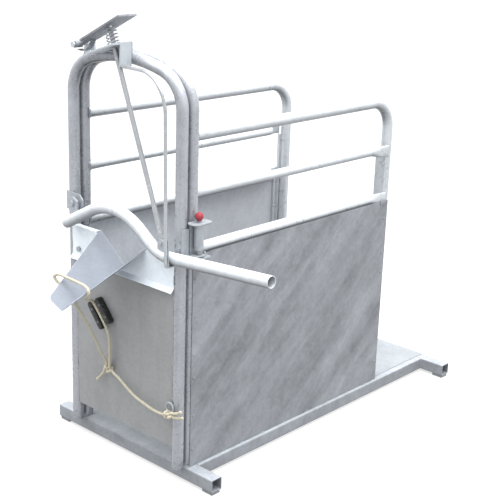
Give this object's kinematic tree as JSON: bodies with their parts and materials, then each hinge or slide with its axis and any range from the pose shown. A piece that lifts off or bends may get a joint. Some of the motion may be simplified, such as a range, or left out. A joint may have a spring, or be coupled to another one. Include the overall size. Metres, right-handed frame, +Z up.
{
  "type": "calf dehorning crate",
  "caption": "Calf dehorning crate: galvanised tube frame and side sheets, swinging head gate with V scoop, neck bar with push rod and lock, pin latch and rope noose.",
  "frame": {"origin": "centre of the footprint of everything except the ropes, on the ground", "axes": "+X to the neck bar's handle side, +Y from the head gate back to the open rear end, +Z up"},
  "size_m": [1.1694, 1.8512, 1.6547],
  "materials": {
    "zinc_tube": "hot-dip galvanised tube, satin with faint runs",
    "zinc_sheet": "galvanised sheet, mottled satin grey",
    "zinc_scoop": "bright galvanised pressed plate",
    "zinc_beam": "dull galvanised box section",
    "zinc_fitting": "galvanised fittings, bolts and pins",
    "rope": "cream twisted rope",
    "black_cleat": "black moulded nylon",
    "red_knob": "red moulded ball knob"
  },
  "bodies": {
    "root": {"front_cross_beam": "zinc_beam", "rear_cross_beam": "zinc_beam", "left_side_beam": "zinc_beam", "right_side_beam": "zinc_beam", "floor_sheet": "zinc_sheet", "rear_hoop": "zinc_tube", "left_side_frame": "zinc_tube", "right_side_frame": "zinc_tube", "left_mid_rail": "zinc_tube", "right_mid_rail": "zinc_tube", "left_low_rail": "zinc_tube", "right_low_rail": "zinc_tube", "left_side_sheet": "zinc_sheet", "right_side_sheet": "zinc_sheet", "left_sheet_bar": "zinc_sheet", "right_sheet_bar": "zinc_sheet", "lower_post_lug": "zinc_fitting", "upper_post_lug": "zinc_fitting", "lower_hinge_pin": "zinc_fitting", "upper_hinge_pin": "zinc_fitting", "latch_bracket": "zinc_fitting", "latch_top_cap": "zinc_fitting", "latch_barrel": "zinc_fitting", "latch_bolt": "zinc_fitting"},
    "gate": {"gate_hoop": "zinc_tube", "gate_sheet": "zinc_sheet", "yoke_plate": "zinc_scoop", "head_scoop": "zinc_scoop", "yoke_bolt": "zinc_fitting", "rope_cleat": "black_cleat", "tie_ring": "zinc_fitting", "pivot_plate": "zinc_fitting", "pivot_bolt": "zinc_fitting", "pivot_washer": "zinc_fitting", "keeper_rod": "zinc_fitting", "keeper_hook": "zinc_fitting", "lock_bracket": "zinc_fitting", "lock_web": "zinc_fitting", "front_lock_lug": "zinc_fitting", "rear_lock_lug": "zinc_fitting", "lock_hinge_pin": "zinc_fitting", "lock_spring": "zinc_fitting", "lower_gate_lug": "zinc_fitting", "upper_gate_lug": "zinc_fitting", "gate_tongue": "zinc_fitting", "rope_noose": "rope", "rope_lead": "rope", "slip_knot": "rope", "ring_knot": "rope"},
    "neck_bar": {"neck_bar": "zinc_tube", "neck_bar_lug": "zinc_fitting", "front_clevis_ear": "zinc_fitting", "rear_clevis_ear": "zinc_fitting", "rod_pin": "zinc_fitting"},
    "push_rod": {"push_rod": "zinc_fitting"},
    "lock_lever": {"lock_plate": "zinc_fitting", "lock_strap": "zinc_fitting"},
    "latch_plunger": {"latch_plunger": "zinc_fitting", "red_knob": "red_knob"}
  },
  "joints": [
    {"name": "gate_swing", "type": "hinge", "parent": "root", "child": "gate", "pos_m": [-0.46572, -0.60141, 0], "axis": [0, 0, -1], "range_deg": [0, 90]},
    {"name": "neck_bar_swing", "type": "hinge", "parent": "gate", "child": "neck_bar", "pos_m": [-0.39472, -0.68041, 0.953], "axis": [0, -1, 0], "range_deg": [0, 24]},
    {"name": "rod_tilt", "type": "hinge", "parent": "neck_bar", "child": "push_rod", "pos_m": [0.09728, -0.68041, 0.92], "axis": [0, -1, 0], "range_deg": [-19, 0]},
    {"name": "lock_lever_press", "type": "hinge", "parent": "gate", "child": "lock_lever", "pos_m": [-0.33772, -0.68041, 1.532], "axis": [0, 1, 0], "range_deg": [0, 4], "stiffness_Nm_per_rad": 25, "springref_deg": -8.59, "deforming": ["lock_spring"]},
    {"name": "latch_plunger_lift", "type": "slide", "parent": "root", "child": "latch_plunger", "axis": [0, 0, 1], "range_m": [-0.0048, 0.02]}
  ],
  "couplings": [
    {"joint": "rod_tilt", "follows": "neck_bar_swing", "ratio": -0.75}
  ]
}
